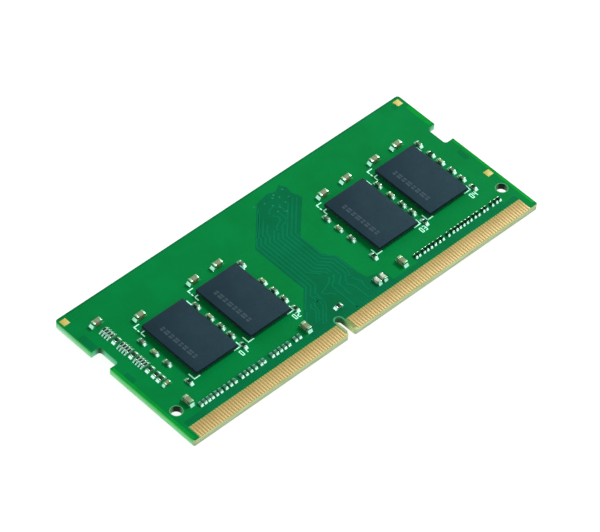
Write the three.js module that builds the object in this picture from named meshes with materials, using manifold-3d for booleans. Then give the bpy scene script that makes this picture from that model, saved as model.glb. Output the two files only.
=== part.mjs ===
// A 260-contact small-outline memory module, lying on its back: board, solder masks, gold contacts,
// eight memory packages, a settings memory, bulk capacitors and termination resistor arrays.
// Millimetres, +Z up. X runs along the board, the contact edge faces -Y, and the origin is at the
// middle of the board's outline, on the surface that the packages of the back face rest on.
import * as THREE from "three";
import { mergeVertices } from "three/addons/utils/BufferGeometryUtils.js";
import Module from "manifold-3d";

const wasm = await Module();
wasm.setup();

// ---------------------------------------------------------------- driving dimensions

const BOARD = { length: 69.6, width: 30, thickness: 1.2, cornerRadius: 0.5 };
const MASK_THICKNESS = 0.03;
const EDGE_BEVEL = { run: 0.15, rise: 0.25 }; // the bevels that lead the contact edge into a socket
const LATCH_NOTCH = { depth: 1.65, width: 4, fromContactEdge: 20, radius: 0.5 };
const TOOLING_HOLE = { radius: 0.9, fromEnd: 1.8, fromContactEdge: 5.9 };
const KEY_SLOT = { x: -3.77, width: 1.26, depth: 3.6, mouthRadius: 0.6 };

const CONTACT = { pitch: 0.5, width: 0.35, length: 2.4, thickness: 0.04, bridge: 0.08 };
const CONTACT_GROUPS = [
  { side: "left", first: -33.5, count: 58 },
  { side: "right", first: -2.4, count: 72 },
];

const PACKAGE = { length: 11.8, width: 8, moulding: 0.5, substrate: 0.2, standoff: 0.25 };
const PACKAGE_X = [-22.5, -11.95, 14, 24.55];
const PACKAGE_Y = -0.4;
const DIE = { length: 8.6, width: 5.2, thickness: 0.2 };
const BALLS = { pitch: 0.8, diameter: 0.45, rows: 13, columns: [-4, -3, -2, 2, 3, 4] };

const SETTINGS_MEMORY = { x: 1.5, y: 8.5, length: 3, width: 2, height: 0.7 };
const LEADS = { pitch: 0.5, width: 0.25, reach: 0.12, perSide: 4, thickness: 0.05 };
const PADDLE = { length: 1.6, width: 1.4 };

const CAPACITOR = { length: 1.6, width: 0.8, height: 0.8, cap: 0.35, step: 0.04, solder: 0.2 };
const CAPACITOR_ROW_Y = 7.4;
const FRONT_ROW_X = [-25.13, -14.58, -9.88, 11.62, 16.42, 22.27, 27.02];
const BACK_ROW_X = [-25.13, -20, -14.58, -9.5, 11.62, 16.42, 22.27, 27.02];
const FRONT_LOOSE = [
  { x: -30.7, y: 10.55, turned: false },
  { x: -30.65, y: -8.95, turned: true },
  { x: -8.45, y: -9.95, turned: true },
  { x: 11.05, y: -10, turned: true },
];

const ARRAY = { length: 2.1, width: 1, height: 0.4, solder: 0.22 };
const ARRAY_TERMINAL = { perSide: 4, pitch: 0.56, width: 0.34 };
const ARRAY_X = -30.67;
const ARRAY_Y = [8.05, 4.3, 0.85];

const FIDUCIAL = { size: 1.15, clearance: 0.05, proud: 0.005 };
const FIDUCIAL_PLACES = [
  { x: -33.87, y: 13.85 },
  { x: 33.7, y: 13.85 },
  { x: 33.7, y: -5.6 },
];

// ---------------------------------------------------------------- levels worked out from them

const PACKAGE_HEIGHT = PACKAGE.standoff + PACKAGE.substrate + PACKAGE.moulding;
const BACK_FACE = PACKAGE_HEIGHT;
const FRONT_FACE = BACK_FACE + BOARD.thickness;
const HALF_LENGTH = BOARD.length / 2;
const HALF_WIDTH = BOARD.width / 2;
const CONTACT_TOP_Y = -HALF_WIDTH + EDGE_BEVEL.run + CONTACT.length;
const QUARTER = Math.PI / 2;
const ARC_STEPS = 3; // half the straight pieces that stand for one arc

// ---------------------------------------------------------------- materials

function material(color, roughness, metalness) {
  return new THREE.MeshStandardMaterial({ color, roughness, metalness, flatShading: true });
}

const MATERIALS = {
  laminate: material(0xb9cf86, 0.6, 0),
  mask: material(0x00833c, 0.4, 0),
  gold: material(0xd9b366, 0.35, 1),
  moulding: material(0x2b3a4a, 0.75, 0),
  silicon: material(0x6f7680, 0.15, 0.6),
  substrate: material(0x1f4a33, 0.5, 0),
  tin: material(0xd8dad6, 0.35, 1),
  ceramic: material(0xa58a6d, 0.55, 0),
  resistor: material(0x20262a, 0.5, 0),
};

// ---------------------------------------------------------------- shape helpers

function solid(geometry) {
  const bare = geometry.index ? geometry.toNonIndexed() : geometry.clone();
  bare.deleteAttribute("normal");
  bare.deleteAttribute("uv");
  const merged = mergeVertices(bare, 1e-4);
  return new wasm.Manifold(
    new wasm.Mesh({
      numProp: 3,
      vertProperties: merged.attributes.position.array,
      triVerts: new Uint32Array(merged.index.array),
    }),
  );
}

function geometryOf(manifold) {
  const mesh = manifold.getMesh();
  return new THREE.BufferGeometry()
    .setAttribute("position", new THREE.BufferAttribute(mesh.vertProperties, 3))
    .setIndex(new THREE.BufferAttribute(mesh.triVerts, 1));
}

// A box centred on x and y, with its underside at z.
function box(x, y, z, sizeX, sizeY, sizeZ) {
  return new THREE.BoxGeometry(sizeX, sizeY, sizeZ).translate(x, y, z + sizeZ / 2);
}

// A plate of a flat outline, from z up.
function plate(shape, z, thickness) {
  const options = { depth: thickness, bevelEnabled: false, curveSegments: ARC_STEPS };
  return new THREE.ExtrudeGeometry(shape, options).translate(0, 0, z);
}

// A bar along Y with its cross-section given in X and Z, centred on y = 0.
function bar(section, length) {
  const options = { depth: length, bevelEnabled: false };
  return new THREE.ExtrudeGeometry(section, options)
    .rotateX(QUARTER)
    .translate(0, length / 2, 0);
}

function polygon(points) {
  return new THREE.Shape(points.map(([x, y]) => new THREE.Vector2(x, y)));
}

const module260 = new THREE.Group();
module260.name = "memory_module";

function place(parent, name, geometry, look) {
  const mesh = new THREE.Mesh(geometry, look);
  mesh.name = name;
  parent.add(mesh);
  return mesh;
}

// A group for the parts of one face, with z = 0 on that face and z counted away from the board: the
// front group stands on the front face, and the back group is mirrored to hang below the back face.
function faceGroup(level, outward) {
  const group = new THREE.Group();
  group.position.z = level;
  group.scale.z = outward;
  module260.add(group);
  return group;
}

const front = faceGroup(FRONT_FACE, 1);
const back = faceGroup(BACK_FACE, -1);

// ---------------------------------------------------------------- board

// One latch notch, cut from the end at x = side * HALF_LENGTH, drawn in the direction of travel.
function latchNotch(shape, side) {
  const { depth, width, fromContactEdge, radius } = LATCH_NOTCH;
  const middle = -HALF_WIDTH + fromContactEdge;
  const arcX = side * (HALF_LENGTH - depth + radius);
  const near = middle - (side * width) / 2;
  const far = middle + (side * width) / 2;
  const start = side > 0 ? 0 : 2 * QUARTER;
  shape.lineTo(side * HALF_LENGTH, near);
  shape.lineTo(arcX, near);
  shape.absarc(arcX, near + side * radius, radius, start - QUARTER, start - 2 * QUARTER, true);
  shape.absarc(arcX, far - side * radius, radius, start - 2 * QUARTER, start - 3 * QUARTER, true);
  shape.lineTo(side * HALF_LENGTH, far);
}

// The key slot with its full-radius end and rounded mouth, drawn from left to right.
function keySlot(shape) {
  const { x, width, depth, mouthRadius } = KEY_SLOT;
  const endRadius = width / 2;
  const endY = -HALF_WIDTH + depth - endRadius;
  const mouthY = -HALF_WIDTH + mouthRadius;
  const left = x - endRadius - mouthRadius;
  const right = x + endRadius + mouthRadius;
  shape.absarc(left, mouthY, mouthRadius, -QUARTER, 0, false);
  shape.absarc(x, endY, endRadius, 2 * QUARTER, QUARTER, true);
  shape.absarc(x, endY, endRadius, QUARTER, 0, true);
  shape.absarc(right, mouthY, mouthRadius, 2 * QUARTER, 3 * QUARTER, false);
}

function toolingHole(side) {
  const { radius, fromEnd, fromContactEdge } = TOOLING_HOLE;
  const hole = new THREE.Path();
  const x = side * (HALF_LENGTH - fromEnd);
  const y = -HALF_WIDTH + fromContactEdge;
  for (let i = 4; i > 0; i -= 1) {
    hole.absarc(x, y, radius, i * QUARTER, (i - 1) * QUARTER, true);
  }
  return hole;
}

function boardOutline() {
  const r = BOARD.cornerRadius;
  const cornerX = HALF_LENGTH - r;
  const cornerY = HALF_WIDTH - r;
  const shape = new THREE.Shape();
  shape.moveTo(-cornerX, -HALF_WIDTH);
  keySlot(shape);
  shape.absarc(cornerX, -cornerY, r, -QUARTER, 0, false);
  latchNotch(shape, 1);
  shape.absarc(cornerX, cornerY, r, 0, QUARTER, false);
  shape.absarc(-cornerX, cornerY, r, QUARTER, 2 * QUARTER, false);
  latchNotch(shape, -1);
  shape.absarc(-cornerX, -cornerY, r, 2 * QUARTER, 3 * QUARTER, false);
  shape.holes.push(toolingHole(-1), toolingHole(1));
  return shape;
}

// The wedge that bevels one arris of the contact edge; up is 1 for the front face, -1 for the back.
function bevelWedge(level, up) {
  const reach = 1;
  const inner = -HALF_WIDTH + EDGE_BEVEL.run;
  const outer = -HALF_WIDTH - reach;
  const drop = ((inner - outer) * EDGE_BEVEL.rise) / EDGE_BEVEL.run;
  const section = polygon([
    [inner, 0],
    [inner, up * reach],
    [outer, up * reach],
    [outer, -up * drop],
  ]);
  const length = BOARD.length + 2 * reach;
  const turnToLength = new THREE.Matrix4().set(0, 0, 1, 0, 1, 0, 0, 0, 0, 1, 0, 0, 0, 0, 0, 1);
  const wedge = new THREE.ExtrudeGeometry(section, { depth: length, bevelEnabled: false });
  return solid(wedge.applyMatrix4(turnToLength).translate(-length / 2, 0, level));
}

function laminate() {
  const bottom = BACK_FACE + MASK_THICKNESS;
  const top = FRONT_FACE - MASK_THICKNESS;
  const core = solid(plate(boardOutline(), bottom, top - bottom));
  return geometryOf(core.subtract(bevelWedge(top, 1)).subtract(bevelWedge(bottom, -1)));
}

// The window in the solder mask that leaves the contacts and the bevel bare.
function contactWindow() {
  const margin = 0.1;
  const [left, right] = CONTACT_GROUPS;
  const low = left.first - CONTACT.width / 2 - margin;
  const lastX = right.first + (right.count - 1) * CONTACT.pitch;
  const high = lastX + CONTACT.width / 2 + margin;
  const width = high - low;
  const depth = CONTACT_TOP_Y + CONTACT.bridge + HALF_WIDTH + 1;
  const y = CONTACT_TOP_Y + CONTACT.bridge - depth / 2;
  return box((low + high) / 2, y, -1, width, depth, 2);
}

// The solder mask of one face, in that face's group: from -MASK_THICKNESS up to 0.
function solderMask(openings) {
  const bevelStrip = box(0, -HALF_WIDTH, -1, BOARD.length + 2, 2 * EDGE_BEVEL.run, 2);
  let mask = solid(plate(boardOutline(), -MASK_THICKNESS, MASK_THICKNESS));
  mask = mask.subtract(solid(contactWindow())).subtract(solid(bevelStrip));
  for (const opening of openings) {
    mask = mask.subtract(solid(opening));
  }
  return geometryOf(mask);
}

function fiducialOpening({ x, y }) {
  const size = FIDUCIAL.size + 2 * FIDUCIAL.clearance;
  return box(x, y, -1, size, size, 2);
}

place(module260, "laminate", laminate(), MATERIALS.laminate);
place(front, "front_solder_mask", solderMask(FIDUCIAL_PLACES.map(fiducialOpening)), MATERIALS.mask);
place(back, "back_solder_mask", solderMask([]), MATERIALS.mask);

FIDUCIAL_PLACES.forEach(({ x, y }, index) => {
  const thickness = MASK_THICKNESS + FIDUCIAL.proud;
  const square = box(x, y, -MASK_THICKNESS, FIDUCIAL.size, FIDUCIAL.size, thickness);
  place(front, `front_fiducial_${index + 1}`, square, MATERIALS.gold);
});

// ---------------------------------------------------------------- contacts

// One row of contact fingers. Their upper ends run into one narrow strip, so a row is one piece.
function contactRow({ first, count }) {
  const low = -HALF_WIDTH + EDGE_BEVEL.run;
  const half = CONTACT.width / 2;
  const points = [];
  for (let i = 0; i < count; i += 1) {
    const x = first + i * CONTACT.pitch;
    points.push([x - half, low], [x + half, low]);
    if (i < count - 1) {
      points.push([x + half, CONTACT_TOP_Y], [x + CONTACT.pitch - half, CONTACT_TOP_Y]);
    }
  }
  const last = first + (count - 1) * CONTACT.pitch;
  const top = CONTACT_TOP_Y + CONTACT.bridge;
  points.push([last + half, top], [first - half, top]);
  return plate(polygon(points), -MASK_THICKNESS, CONTACT.thickness);
}

for (const group of CONTACT_GROUPS) {
  place(front, `front_${group.side}_contacts`, contactRow(group), MATERIALS.gold);
  place(back, `back_${group.side}_contacts`, contactRow(group), MATERIALS.gold);
}

// ---------------------------------------------------------------- memory packages

// The substrate with its solder balls: each column of balls is one bar of the balls' width.
function substrateWithBalls() {
  const { width, length, substrate, standoff } = PACKAGE;
  const columnLength = (BALLS.rows - 1) * BALLS.pitch + BALLS.diameter;
  let body = solid(box(0, 0, standoff, width, length, substrate));
  for (const column of BALLS.columns) {
    const height = standoff + substrate / 2;
    const ballBar = box(column * BALLS.pitch, 0, 0, BALLS.diameter, columnLength, height);
    body = body.add(solid(ballBar));
  }
  return geometryOf(body);
}

function mouldCap() {
  const { width, length, moulding } = PACKAGE;
  const cap = solid(box(0, 0, 0, width, length, moulding));
  const pocket = solid(box(0, 0, -1, DIE.width, DIE.length, DIE.thickness + 1));
  return geometryOf(cap.subtract(pocket));
}

function memoryPackage(face, number, x) {
  const top = PACKAGE.standoff + PACKAGE.substrate;
  const chip = new THREE.Group();
  chip.position.set(x, PACKAGE_Y, 0);
  face.add(chip);
  const die = box(0, 0, 0, DIE.width, DIE.length, DIE.thickness);
  place(chip, `dram_${number}_substrate`, substrateWithBalls(), MATERIALS.substrate);
  place(chip, `dram_${number}_die`, die, MATERIALS.silicon).position.z = top;
  place(chip, `dram_${number}_mould_cap`, mouldCap(), MATERIALS.moulding).position.z = top;
}

PACKAGE_X.forEach((x, index) => {
  memoryPackage(front, index + 1, x);
  memoryPackage(back, index + 1 + PACKAGE_X.length, x);
});

// ---------------------------------------------------------------- settings memory

// The lead frame: four straps side by side, whose ends are the eight leads, and the die paddle.
function leadFrame() {
  const strapLength = SETTINGS_MEMORY.length + 2 * LEADS.reach;
  let frame = solid(box(0, 0, 0, PADDLE.length, PADDLE.width, LEADS.thickness));
  for (let i = 0; i < LEADS.perSide; i += 1) {
    const y = (i - (LEADS.perSide - 1) / 2) * LEADS.pitch;
    frame = frame.add(solid(box(0, y, 0, strapLength, LEADS.width, LEADS.thickness)));
  }
  return geometryOf(frame);
}

function settingsBody() {
  const { length, width, height } = SETTINGS_MEMORY;
  return box(0, 0, LEADS.thickness, length, width, height);
}

const settings = new THREE.Group();
settings.position.set(SETTINGS_MEMORY.x, SETTINGS_MEMORY.y, 0);
back.add(settings);
place(settings, "settings_memory_lead_frame", leadFrame(), MATERIALS.tin);
place(settings, "settings_memory_package", settingsBody(), MATERIALS.moulding);

// ---------------------------------------------------------------- bulk capacitors

// Ceramic block along X with a plated cap at each end, and solder that climbs halfway up the ends.
function bulkCapacitor() {
  const { length, width, height, cap, step, solder } = CAPACITOR;
  const end = length / 2;
  const inner = end - cap;
  const filletTop = height / 2;
  const half = [
    [inner, step],
    [inner, 0],
    [end + solder, 0],
    [end, filletTop],
    [end, height],
    [inner, height],
    [inner, height - step],
  ];
  const mirrored = half.map(([x, z]) => [-x, z]).reverse();
  return bar(polygon([...half, ...mirrored]), width);
}

let frontCapacitors = 0;
function frontCapacitor(x, y, turned) {
  frontCapacitors += 1;
  const name = `front_capacitor_${frontCapacitors}`;
  const mesh = place(front, name, bulkCapacitor(), MATERIALS.ceramic);
  mesh.position.set(x, y, 0);
  mesh.rotation.z = turned ? QUARTER : 0;
}

for (const x of FRONT_ROW_X) {
  frontCapacitor(x, CAPACITOR_ROW_Y, false);
}
for (const { x, y, turned } of FRONT_LOOSE) {
  frontCapacitor(x, y, turned);
}
BACK_ROW_X.forEach((x, index) => {
  const mesh = place(back, `back_capacitor_${index + 1}`, bulkCapacitor(), MATERIALS.ceramic);
  mesh.position.set(x, CAPACITOR_ROW_Y, 0);
});

// ---------------------------------------------------------------- termination resistor arrays

// Four resistors in one block along Y, with four soldered terminals on each long side.
function terminationArray() {
  const { length, width, height, solder } = ARRAY;
  const inner = width / 2;
  const outer = inner + solder;
  const side = [[inner, -length / 2]];
  for (let i = 0; i < ARRAY_TERMINAL.perSide; i += 1) {
    const y = (i - (ARRAY_TERMINAL.perSide - 1) / 2) * ARRAY_TERMINAL.pitch;
    const low = y - ARRAY_TERMINAL.width / 2;
    const high = y + ARRAY_TERMINAL.width / 2;
    side.push([inner, low], [outer, low], [outer, high], [inner, high]);
  }
  side.push([inner, length / 2]);
  const other = side.map(([x, y]) => [-x, -y]);
  return plate(polygon([...side, ...other]), 0, height);
}

ARRAY_Y.forEach((y, index) => {
  const mesh = place(front, `termination_array_${index + 1}`, terminationArray(), MATERIALS.resistor);
  mesh.position.set(ARRAY_X, y, 0);
});

export default module260;
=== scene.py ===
import math
import random

import bpy
from mathutils import Matrix, Quaternion, Vector


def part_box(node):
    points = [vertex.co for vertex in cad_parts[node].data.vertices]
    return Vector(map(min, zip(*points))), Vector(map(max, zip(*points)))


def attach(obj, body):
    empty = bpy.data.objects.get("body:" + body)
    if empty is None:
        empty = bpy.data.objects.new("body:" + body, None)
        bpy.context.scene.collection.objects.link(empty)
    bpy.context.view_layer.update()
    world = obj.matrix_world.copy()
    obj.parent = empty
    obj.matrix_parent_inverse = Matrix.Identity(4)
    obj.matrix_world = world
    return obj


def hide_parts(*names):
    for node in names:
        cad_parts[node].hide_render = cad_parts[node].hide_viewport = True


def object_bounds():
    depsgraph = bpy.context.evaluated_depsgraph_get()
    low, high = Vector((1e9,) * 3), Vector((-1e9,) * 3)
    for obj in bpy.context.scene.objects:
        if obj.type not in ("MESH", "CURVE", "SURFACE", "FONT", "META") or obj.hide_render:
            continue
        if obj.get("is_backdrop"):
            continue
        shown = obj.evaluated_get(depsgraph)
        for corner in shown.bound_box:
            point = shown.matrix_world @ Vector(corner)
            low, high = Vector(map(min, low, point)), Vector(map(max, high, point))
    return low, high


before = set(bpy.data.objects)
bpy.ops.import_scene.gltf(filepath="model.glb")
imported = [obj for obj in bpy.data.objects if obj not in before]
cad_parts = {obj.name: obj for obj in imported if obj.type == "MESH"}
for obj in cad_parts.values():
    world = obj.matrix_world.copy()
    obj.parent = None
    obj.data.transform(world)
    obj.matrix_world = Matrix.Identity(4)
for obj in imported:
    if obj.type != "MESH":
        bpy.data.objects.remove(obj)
cad_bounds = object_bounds()

# Lengths are in millimetres, and every piece is scaled to metres as its mesh is made.
# X runs along the board, Y from the contact edge to the plain edge, Z out of the front face.
MM = 0.001
chance = random.Random(260)


# -------- the frame's sizes


def span(node):
    """The lowest and highest corners of a CAD node, in millimetres."""
    low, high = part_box(node)
    return low / MM, high / MM


def middle(node):
    low, high = span(node)
    return (low + high) / 2


def numbered(stem):
    """The CAD nodes whose names are this stem and a number, in order."""
    names = [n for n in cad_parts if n.startswith(stem) and n[len(stem):].isdigit()]
    return sorted(names, key=lambda n: int(n[len(stem):]))


FRONT_LEVEL = span("front_solder_mask")[1].z
BACK_LEVEL = span("back_solder_mask")[0].z
BOARD_CORNER = span("laminate")[1]
HALF_LENGTH = BOARD_CORNER.x
HALF_WIDTH = BOARD_CORNER.y
CONTACT_TOP = span("front_left_contacts")[1].y

# A face's own frame: z = 0 on the solder mask, z counted away from the board.
FRONT = Matrix.Translation((0, 0, FRONT_LEVEL))
BACK = Matrix.Translation((0, 0, BACK_LEVEL)) @ Matrix.Diagonal((1, 1, -1, 1))
FACES = {"front": FRONT, "back": BACK}

# Heights of the relief on the lacquer. Fields and rims start a little below the surface.
SUNK = -0.01
FIELD_LEVEL = 0.008
RIM_LEVEL = 0.012
TRACK_LEVEL = 0.02
PRINT_LEVEL = 0.022


def standing(node):
    """The face a CAD node stands on, and the heights of its foot and its top in that frame."""
    low, high = span(node)
    if low.z > BACK_LEVEL:
        return FRONT, low.z - FRONT_LEVEL, high.z - FRONT_LEVEL
    return BACK, BACK_LEVEL - high.z, BACK_LEVEL - low.z


def at(x, y, turn=0):
    """A place on a face, turned about the face's normal by a number of degrees."""
    return Matrix.Translation((x, y, 0)) @ Matrix.Rotation(math.radians(turn), 4, "Z")


# -------- solids


def rounded_rectangle(x0, x1, y0, y1, radius, steps):
    """Points anticlockwise round a rectangle with rounded corners."""
    corners = [(x1 - radius, y0 + radius, -90), (x1 - radius, y1 - radius, 0)]
    corners += [(x0 + radius, y1 - radius, 90), (x0 + radius, y0 + radius, 180)]
    points = []
    for x, y, start in corners:
        for i in range(steps + 1):
            angle = math.radians(start + 90 * i / steps)
            points.append((x + radius * math.cos(angle), y + radius * math.sin(angle)))
    return points


def skin(rings):
    """A closed solid through rings of equally many points, capped at both ends."""
    count = len(rings[0])
    points = [Vector(p) for ring in rings for p in ring]
    faces = [list(reversed(range(count)))]
    for level in range(len(rings) - 1):
        base = level * count
        for i in range(count):
            j = (i + 1) % count
            faces.append([base + i, base + j, base + count + j, base + count + i])
    last = (len(rings) - 1) * count
    faces.append([last + i for i in range(count)])
    return points, faces


def loft(sections, steps=2):
    """A solid through level rounded rectangles, each given as (x0, x1, y0, y1, radius, z)."""
    rings = []
    for x0, x1, y0, y1, radius, z in sections:
        ring = rounded_rectangle(x0, x1, y0, y1, radius, steps)
        rings.append([(x, y, z) for x, y in ring])
    return skin(rings)


def washer(x, y, inner, outer):
    """A flat ring lying on the lacquer."""
    count = 24
    sections = [(outer, SUNK), (outer, RIM_LEVEL), (inner, RIM_LEVEL), (inner, SUNK)]
    points = []
    faces = []
    for i in range(count):
        angle = math.tau * i / count
        across, along = math.cos(angle), math.sin(angle)
        points += [Vector((x + r * across, y + r * along, z)) for r, z in sections]
        for j in range(4):
            here, after = i * 4 + j, i * 4 + (j + 1) % 4
            ahead = (i + 1) % count * 4
            faces.append([here, ahead + j, ahead + (j + 1) % 4, after])
    return points, faces


def block(x0, x1, y0, y1, z0, z1, edge, steps=2):
    """A block with rounded upright edges and a rounded top."""
    sections = [(x0, x1, y0, y1, edge, z0)]
    for i in range(steps + 1):
        angle = math.radians(90 * i / steps)
        inset = edge * (1 - math.cos(angle))
        radius = edge * math.cos(angle) * 0.98 + edge * 0.02
        z = z1 - edge + edge * math.sin(angle)
        sections.append((x0 + inset, x1 - inset, y0 + inset, y1 - inset, radius, z))
    return loft(sections, steps)


def ball(x, y, radius, height):
    """A solder ball flattened where it meets the board below and the package above."""
    sections = []
    for share in (0, 0.15, 0.5, 0.85, 1):
        bulge = math.sqrt(1 - 0.5 * (2 * share - 1) ** 2)
        r = radius * bulge
        sections.append((x - r, x + r, y - r, y + r, r, height * share))
    return loft(sections, 2)


def prism(outline, z0, z1):
    """A solid with this outline between two heights."""
    return skin([[(x, y, z0) for x, y in outline], [(x, y, z1) for x, y in outline]])


def stroke(path, width, top):
    """A flat ribbon on the lacquer along a path of points, mitred at its bends."""
    spots = [Vector(p) for p in path]
    left, right = [], []
    for i, spot in enumerate(spots):
        before = spot - spots[i - 1] if i > 0 else spots[1] - spot
        after = spots[i + 1] - spot if i < len(spots) - 1 else before
        mean = (before.normalized() + after.normalized()).normalized()
        side = Vector((-mean.y, mean.x)) * (width / 2)
        side /= max(0.5, mean.dot(after.normalized()))
        left.append(spot + side)
        right.append(spot - side)
    rings = []
    for a, b in zip(left, right):
        rings.append([(a.x, a.y, 0), (a.x, a.y, top), (b.x, b.y, top), (b.x, b.y, 0)])
    return skin(rings)


# -------- pieces

# Edges between faces that turn by more degrees than this are drawn sharp.
SHARPEST_SMOOTH_EDGE = 35


def put(name, data):
    """A new object in the scene for a mesh, a camera or a lamp."""
    thing = bpy.data.objects.new(name, data)
    bpy.context.scene.collection.objects.link(thing)
    return thing


class Piece:
    """One visible piece: a mesh put together from small closed solids."""

    def __init__(self, name, *looks):
        self.name = name
        self.looks = looks
        self.points = []
        self.faces = []
        self.face_looks = []

    def add(self, solid, place=Matrix(), look=0):
        points, faces = solid
        start = len(self.points)
        mirrored = place.determinant() < 0
        self.points += [place @ p for p in points]
        for face in faces:
            ring = [start + i for i in face]
            self.faces.append(ring[::-1] if mirrored else ring)
        self.face_looks += [look] * len(faces)

    def finish(self, slot, *replaced):
        mesh = bpy.data.meshes.new(self.name)
        mesh.from_pydata([p * MM for p in self.points], [], self.faces)
        for look in self.looks:
            mesh.materials.append(look)
        mesh.polygons.foreach_set("material_index", self.face_looks)
        mesh.polygons.foreach_set("use_smooth", [True] * len(self.faces))
        mesh.set_sharp_from_angle(angle=math.radians(SHARPEST_SMOOTH_EDGE))
        mesh.update()
        piece = put(self.name, mesh)
        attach(piece, "root")
        if replaced:
            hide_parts(*replaced)
        return piece


# -------- key slot and holes

# The slot's middle, its depth from the contact edge and the radius of its closed end.
SLOT_X = -3.77
SLOT_DEPTH = 3.6
SLOT_RADIUS = 0.63
SLOT_END = -HALF_WIDTH + SLOT_DEPTH - SLOT_RADIUS
# The real slot's left wall stands further in than the CAD's: a strip of laminate lines it, this
# deep into the slot and showing this wide on the board.
LINING_DEPTH = 0.19
ARRIS_WIDTH = 0.2
# The tooling hole near each end.
HOLE_X = HALF_LENGTH - 1.8
HOLE_Y = -HALF_WIDTH + 5.9
HOLE_RADIUS = 0.9
# The latch notch in each end: the x of its inner wall and of its middle, its y and half its width.
NOTCH_WALL_X = HALF_LENGTH - 1.65
NOTCH_X = HALF_LENGTH - 0.83
NOTCH_Y = -HALF_WIDTH + 20
NOTCH_HALF = 2.0
# Where the pale rims in the lacquer start outside a cut edge, and where they end.
RIM_START = 0.01
HOLE_RIM_END = 0.13
SLOT_RIM_END = 0.22


# -------- materials


def linear(red, green, blue):
    """A colour given as 0 to 255 display values, as Blender's linear colour."""
    channels = []
    for value in (red, green, blue):
        share = value / 255
        channels.append(share / 12.92 if share <= 0.04045 else ((share + 0.055) / 1.055) ** 2.4)
    return (*channels, 1)


def neutral(share):
    """A grey of this linear brightness."""
    return (share, share, share, 1)


class Look:
    """A material under construction, with short ways to make and join its nodes."""

    def __init__(self, name, roughness, metallic=0.0, specular=0.5, tint=(1, 1, 1, 1)):
        self.material = bpy.data.materials.new(name)
        self.material.use_nodes = True
        self.tree = self.material.node_tree
        self.shader = self.tree.nodes["Principled BSDF"]
        self.shader.inputs["Roughness"].default_value = roughness
        self.shader.inputs["Metallic"].default_value = metallic
        self.shader.inputs["Specular IOR Level"].default_value = specular
        self.shader.inputs["Specular Tint"].default_value = tint
        self.place = self.tree.nodes.new("ShaderNodeTexCoord").outputs["Object"]

    def node(self, kind, **settings):
        node = self.tree.nodes.new(kind)
        for key, value in settings.items():
            setattr(node, key, value)
        return node

    def join(self, output, target):
        self.tree.links.new(output, target)

    def scaled(self, x, y, z):
        """Object coordinates with this many texture cells to the millimetre along each axis."""
        mapping = self.node("ShaderNodeMapping")
        mapping.inputs["Scale"].default_value = (x / MM, y / MM, z / MM)
        self.join(self.place, mapping.inputs["Vector"])
        return mapping.outputs["Vector"]

    def axis(self, name):
        axes = self.node("ShaderNodeSeparateXYZ")
        self.join(self.scaled(1, 1, 1), axes.inputs["Vector"])
        return axes.outputs[name]

    def between(self, value, start, end):
        """A share that climbs from 0 at the start to 1 at the end."""
        share = self.node("ShaderNodeMapRange")
        share.inputs["From Min"].default_value = start
        share.inputs["From Max"].default_value = end
        self.join(value, share.inputs["Value"])
        return share.outputs["Result"]

    def near(self, x, y, inner, outer):
        """1 within the inner distance of an upright line at x, y, and 0 beyond the outer one.
        Without an x or a y, the distance is counted along the other axis alone."""
        distance = self.node("ShaderNodeVectorMath", operation="DISTANCE")
        self.join(self.scaled(0 if x is None else 1, 0 if y is None else 1, 0), distance.inputs[0])
        distance.inputs[1].default_value = (x or 0, y or 0, 0)
        return self.between(distance.outputs["Value"], outer, inner)

    def times(self, first, second):
        product = self.node("ShaderNodeMath", operation="MULTIPLY")
        self.join(first, product.inputs[0])
        self.join(second, product.inputs[1])
        return product.outputs["Value"]

    def noise(self, cells, detail=3.0, stretch=(1, 1, 1)):
        noise = self.node("ShaderNodeTexNoise")
        noise.inputs["Scale"].default_value = 1.0
        noise.inputs["Detail"].default_value = detail
        self.join(self.scaled(*(cells * s for s in stretch)), noise.inputs["Vector"])
        return noise.outputs["Fac"]

    def ramp(self, value, *stops):
        ramp = self.node("ShaderNodeValToRGB")
        elements = ramp.color_ramp.elements
        while len(elements) < len(stops):
            elements.new(0.5)
        for element, (position, colour) in zip(elements, stops):
            element.position = position
            element.color = colour
        self.join(value, ramp.inputs["Fac"])
        return ramp.outputs["Color"]

    def mix(self, share, first, second):
        mix = self.node("ShaderNodeMix", data_type="RGBA")
        for socket, value in (("Factor", share), ("A", first), ("B", second)):
            target = next(s for s in mix.inputs if s.name == socket and s.enabled)
            if isinstance(value, bpy.types.NodeSocket):
                self.join(value, target)
            else:
                target.default_value = value
        return next(s for s in mix.outputs if s.enabled)

    def colour(self, output):
        self.join(output, self.shader.inputs["Base Color"])

    def roughness(self, value, low, high):
        span_node = self.node("ShaderNodeMapRange")
        span_node.inputs["To Min"].default_value = low
        span_node.inputs["To Max"].default_value = high
        self.join(value, span_node.inputs["Value"])
        self.join(span_node.outputs["Result"], self.shader.inputs["Roughness"])

    def bump(self, value, depth):
        """Relief of this depth in millimetres."""
        bump = self.node("ShaderNodeBump")
        bump.inputs["Distance"].default_value = depth * MM
        bump.inputs["Strength"].default_value = 1.0
        self.join(value, bump.inputs["Height"])
        self.join(bump.outputs["Normal"], self.shader.inputs["Normal"])


def speckled(name, dark, light, cells=6.0, rough=0.5, depth=0.004, metallic=0.0, specular=0.5,
             glow=0.0):
    """A material whose colour wanders between two tones, with fine relief and uneven gloss. A glow,
    where one is given, is painted light.
    """
    look = Look(name, rough, metallic, specular)
    look.shader.inputs["Emission Color"].default_value = linear(*light)
    look.shader.inputs["Emission Strength"].default_value = glow
    grain = look.noise(cells, 4.0)
    look.colour(look.ramp(grain, (0.3, linear(*dark)), (0.7, linear(*light))))
    look.roughness(look.noise(cells * 0.7), rough * 0.85, rough * 1.15)
    look.bump(look.noise(cells * 2.2, 2.0), depth)
    return look.material


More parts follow.
